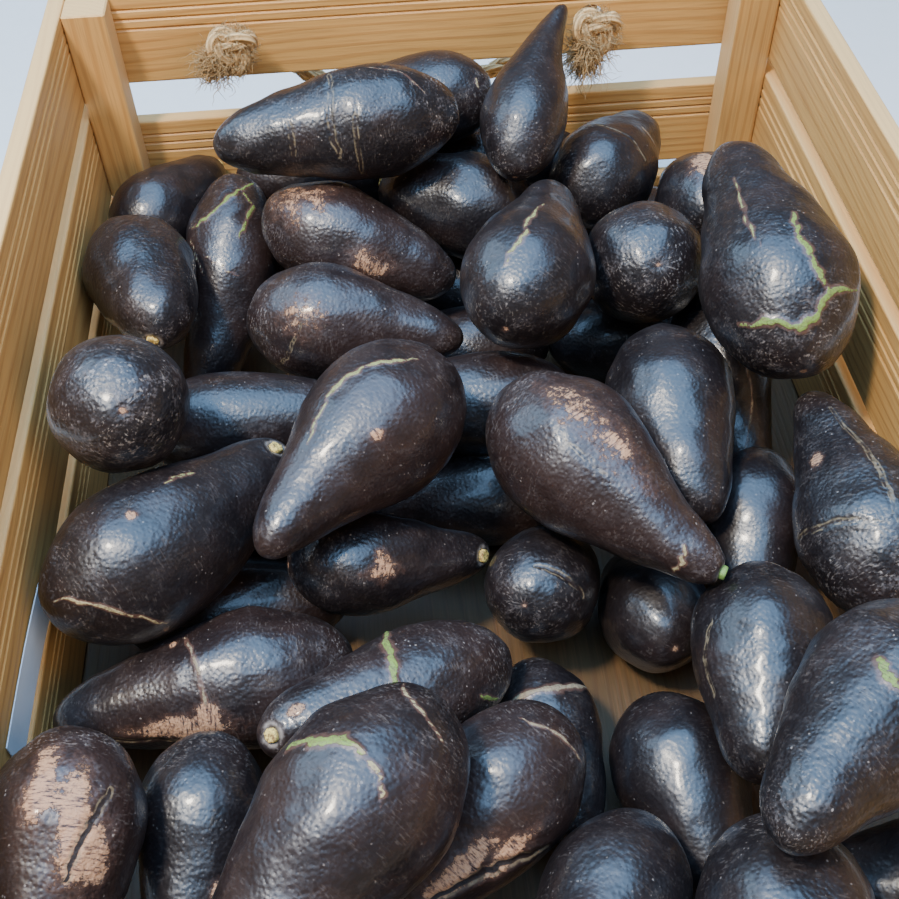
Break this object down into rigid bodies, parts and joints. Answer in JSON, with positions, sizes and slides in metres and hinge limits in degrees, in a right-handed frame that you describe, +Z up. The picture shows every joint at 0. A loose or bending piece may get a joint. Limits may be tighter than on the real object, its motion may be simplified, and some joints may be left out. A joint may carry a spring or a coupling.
{
  "type": "crate of avocados",
  "caption": "Heap of black, pear-shaped avocados with cracked, scabbed skins in a slatted pine market crate with rope handles.",
  "frame": {"origin": "centre of the crate's footprint, on the underside of the floor panel", "axes": "+Z up, +Y along the crate's long side towards its back end, +X towards its right side board"},
  "size_m": [0.4, 0.6412, 0.186],
  "materials": {
    "avocado_skin": "satin, near black with a purple-brown cast, fine bumps, corky scabs and green cracks",
    "pine": "planed, unvarnished, sawn at the edges",
    "jute_rope": "hairy twisted rope"
  },
  "bodies": {
    "root": {"floor_panel": "pine", "post_back_left": "pine", "post_back_right": "pine", "post_front_left": "pine", "post_front_right": "pine", "side_board_left_top": "pine", "side_board_right_top": "pine", "side_board_left_middle": "pine", "side_board_right_middle": "pine", "side_board_left_bottom": "pine", "side_board_right_bottom": "pine", "end_board_back_top": "pine", "end_board_back_middle": "pine", "end_board_back_bottom": "pine", "rope_handle_back": "jute_rope", "end_board_front_top": "pine", "end_board_front_middle": "pine", "end_board_front_bottom": "pine", "rope_handle_front": "jute_rope", "buried_avocados_far": "avocado_skin", "buried_avocados_near": "avocado_skin", "avocado_01": "avocado_skin", "avocado_02": "avocado_skin", "avocado_03": "avocado_skin", "avocado_04": "avocado_skin", "avocado_05": "avocado_skin", "avocado_06": "avocado_skin", "avocado_07": "avocado_skin", "avocado_08": "avocado_skin", "avocado_09": "avocado_skin", "avocado_10": "avocado_skin", "avocado_11": "avocado_skin", "avocado_12": "avocado_skin", "avocado_14": "avocado_skin", "avocado_15": "avocado_skin", "avocado_16": "avocado_skin", "avocado_17": "avocado_skin", "avocado_18": "avocado_skin", "avocado_19": "avocado_skin", "avocado_21": "avocado_skin", "avocado_22": "avocado_skin", "avocado_23": "avocado_skin", "avocado_27": "avocado_skin", "avocado_28": "avocado_skin", "avocado_29": "avocado_skin", "avocado_30": "avocado_skin", "avocado_31": "avocado_skin", "avocado_32": "avocado_skin", "avocado_33": "avocado_skin", "avocado_34": "avocado_skin", "avocado_35": "avocado_skin", "avocado_37": "avocado_skin", "avocado_38": "avocado_skin", "avocado_39": "avocado_skin", "avocado_40": "avocado_skin", "avocado_41": "avocado_skin", "avocado_44": "avocado_skin", "avocado_45": "avocado_skin", "avocado_46": "avocado_skin"}
  },
  "joints": []
}
